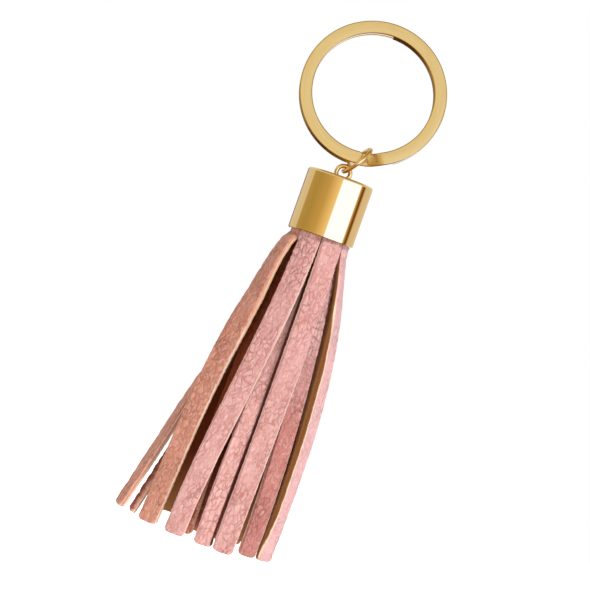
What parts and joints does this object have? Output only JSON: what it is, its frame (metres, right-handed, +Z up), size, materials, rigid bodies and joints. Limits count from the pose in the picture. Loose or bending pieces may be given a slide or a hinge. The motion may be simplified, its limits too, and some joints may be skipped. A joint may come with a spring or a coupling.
{
  "type": "tassel key ring",
  "caption": "Key ring with a leather tassel in a polished cap, linked by a jump ring that lets it swing. Outer strands splay.",
  "frame": {"origin": "centre of the split ring, in the middle of its thickness", "axes": "+Z up as it hangs, along the tassel; -Y is the front; the split ring faces the front and leans 8 degrees, its bottom forward, as it lies in the picture"},
  "size_m": [0.0393, 0.0218, 0.119],
  "materials": {
    "gold_brushed": "satin gold plate, finely brushed flat wire",
    "gold_wire": "bright gold plate",
    "gold_polished": "mirror-polished gold plate",
    "steel_inner": "plain zinc plate",
    "leather_header": "pebbled leather, rolled and glued",
    "leather": "soft pebbled grain leather with raw suede back and cut edges"
  },
  "bodies": {
    "split_ring": {"split_ring": "gold_brushed"},
    "jump_ring": {"jump_ring": "gold_wire"},
    "tassel_head": {"eye_screw": "gold_wire", "cap": "gold_polished", "cap_washer": "steel_inner", "cap_nut": "steel_inner", "header_roll": "leather_header", "strand_b1": "leather", "strand_b2": "leather", "strand_b3": "leather", "strand_b4": "leather", "strand_b5": "leather", "strand_b6": "leather", "strand_c1": "leather", "strand_c2": "leather", "strand_c3": "leather", "strand_c4": "leather"},
    "strand_a1": {"strand_a1": "leather"},
    "strand_a2": {"strand_a2": "leather"},
    "strand_a3": {"strand_a3": "leather"},
    "strand_a4": {"strand_a4": "leather"},
    "strand_a5": {"strand_a5": "leather"},
    "strand_a6": {"strand_a6": "leather"},
    "strand_a7": {"strand_a7": "leather"}
  },
  "joints": [
    {"name": "jump_ring_swing", "type": "hinge", "parent": "split_ring", "child": "jump_ring", "pos_m": [0, -0.00203, -0.01446], "axis": [1, 0, 0], "range_deg": [-60, 60]},
    {"name": "tassel_swing", "type": "hinge", "parent": "jump_ring", "child": "tassel_head", "pos_m": [-0.00035, -0.00203, -0.01801], "axis": [0, 1, 0], "range_deg": [-25, 25]},
    {"name": "strand_a1_splay", "type": "hinge", "parent": "tassel_head", "child": "strand_a1", "pos_m": [-0.00258, -0.00755, -0.03406], "axis": [-0.9272, 0.3746, 0], "range_deg": [0, 45]},
    {"name": "strand_a2_splay", "type": "hinge", "parent": "tassel_head", "child": "strand_a2", "pos_m": [0.00253, -0.00724, -0.03406], "axis": [-0.8746, -0.4848, 0], "range_deg": [0, 45]},
    {"name": "strand_a3_splay", "type": "hinge", "parent": "tassel_head", "child": "strand_a3", "pos_m": [0.00553, -0.00296, -0.03406], "axis": [-0.1564, -0.9877, 0], "range_deg": [0, 45]},
    {"name": "strand_a4_splay", "type": "hinge", "parent": "tassel_head", "child": "strand_a4", "pos_m": [0.00407, 0.00195, -0.03406], "axis": [0.6691, -0.7431, 0], "range_deg": [0, 45]},
    {"name": "strand_a5_splay", "type": "hinge", "parent": "tassel_head", "child": "strand_a5", "pos_m": [-0.00077, 0.0039, -0.03406], "axis": [0.9976, 0.0698, 0], "range_deg": [0, 45]},
    {"name": "strand_a6_splay", "type": "hinge", "parent": "tassel_head", "child": "strand_a6", "pos_m": [-0.00522, 0.00138, -0.03406], "axis": [0.5736, 0.8192, 0], "range_deg": [0, 45]},
    {"name": "strand_a7_splay", "type": "hinge", "parent": "tassel_head", "child": "strand_a7", "pos_m": [-0.00604, -0.00377, -0.03406], "axis": [-0.2924, 0.9563, 0], "range_deg": [0, 45]}
  ]
}
